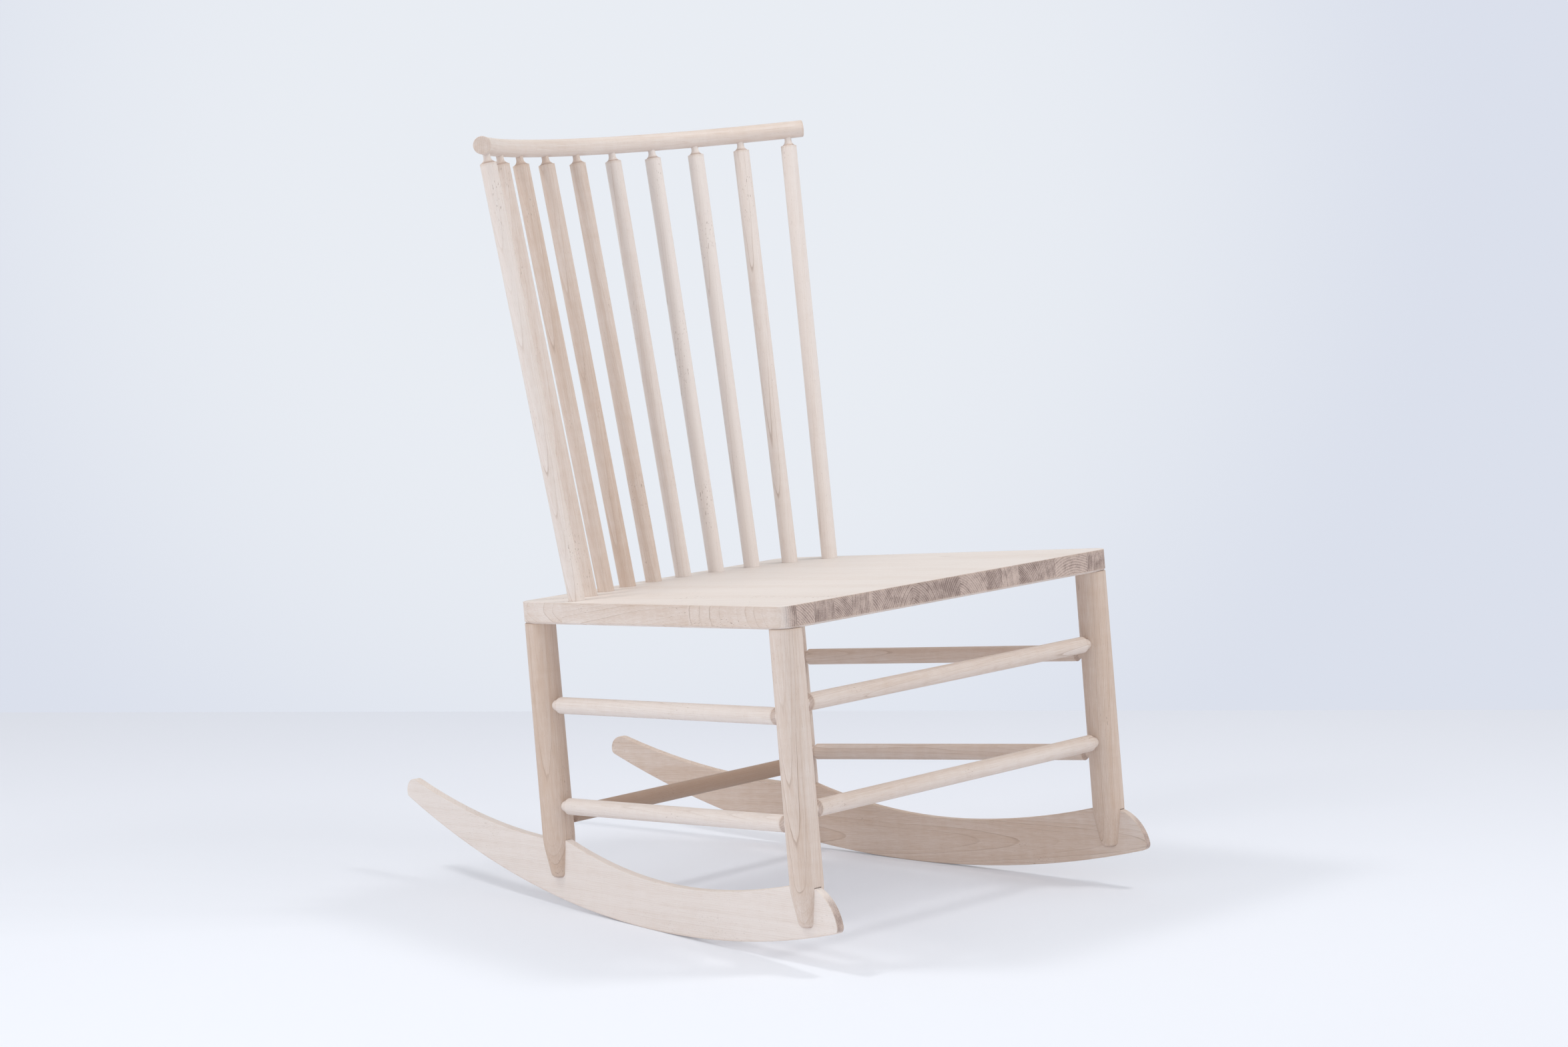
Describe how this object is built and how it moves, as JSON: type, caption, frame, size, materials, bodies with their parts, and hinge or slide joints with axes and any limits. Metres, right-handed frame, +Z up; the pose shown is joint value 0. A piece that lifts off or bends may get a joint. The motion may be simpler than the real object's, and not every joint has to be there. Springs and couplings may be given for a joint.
{
  "type": "rocking chair",
  "caption": "Armless rocking chair with a flat slab seat, turned legs slotted over thin curved rockers, and a fan of round spindles rising to a bent round crest rail.",
  "frame": {"origin": "on the floor, at the middle of the standing chair's bounding box, with the chair at its balance pose on its rockers", "axes": "+Z up, -Y out of the front of the seat, +X to the right seen from the front"},
  "size_m": [0.6398, 0.8644, 0.9946],
  "materials": {
    "seat_wood": "pale maple, soap finish, staves glued edge to edge",
    "leg_wood": "pale maple, turned, soap finish",
    "rocker_wood": "pale maple plank, soap finish",
    "stretcher_wood": "pale maple, turned, soap finish",
    "spindle_wood": "pale maple, turned, soap finish",
    "rail_wood": "pale maple, bent round bar, soap finish"
  },
  "bodies": {
    "root": {"seat_stave_01": "seat_wood", "seat_stave_02": "seat_wood", "seat_stave_03": "seat_wood", "seat_stave_04": "seat_wood", "seat_stave_05": "seat_wood", "seat_stave_06": "seat_wood", "seat_stave_07": "seat_wood", "seat_stave_08": "seat_wood", "seat_stave_09": "seat_wood", "seat_stave_10": "seat_wood", "seat_stave_11": "seat_wood", "seat_stave_12": "seat_wood", "seat_stave_13": "seat_wood", "seat_stave_14": "seat_wood", "seat_stave_15": "seat_wood", "seat_stave_16": "seat_wood", "leg_front_left": "leg_wood", "leg_front_right": "leg_wood", "leg_rear_left": "leg_wood", "leg_rear_right": "leg_wood", "rocker_left": "rocker_wood", "rocker_right": "rocker_wood", "stretcher_left_upper": "stretcher_wood", "stretcher_left_lower": "stretcher_wood", "stretcher_right_upper": "stretcher_wood", "stretcher_right_lower": "stretcher_wood", "stretcher_front_upper": "stretcher_wood", "stretcher_front_lower": "stretcher_wood", "stretcher_rear": "stretcher_wood", "spindle_01": "spindle_wood", "spindle_02": "spindle_wood", "spindle_03": "spindle_wood", "spindle_04": "spindle_wood", "spindle_05": "spindle_wood", "spindle_06": "spindle_wood", "spindle_07": "spindle_wood", "spindle_08": "spindle_wood", "spindle_09": "spindle_wood", "spindle_10": "spindle_wood", "crest_rail": "rail_wood"}
  },
  "joints": []
}
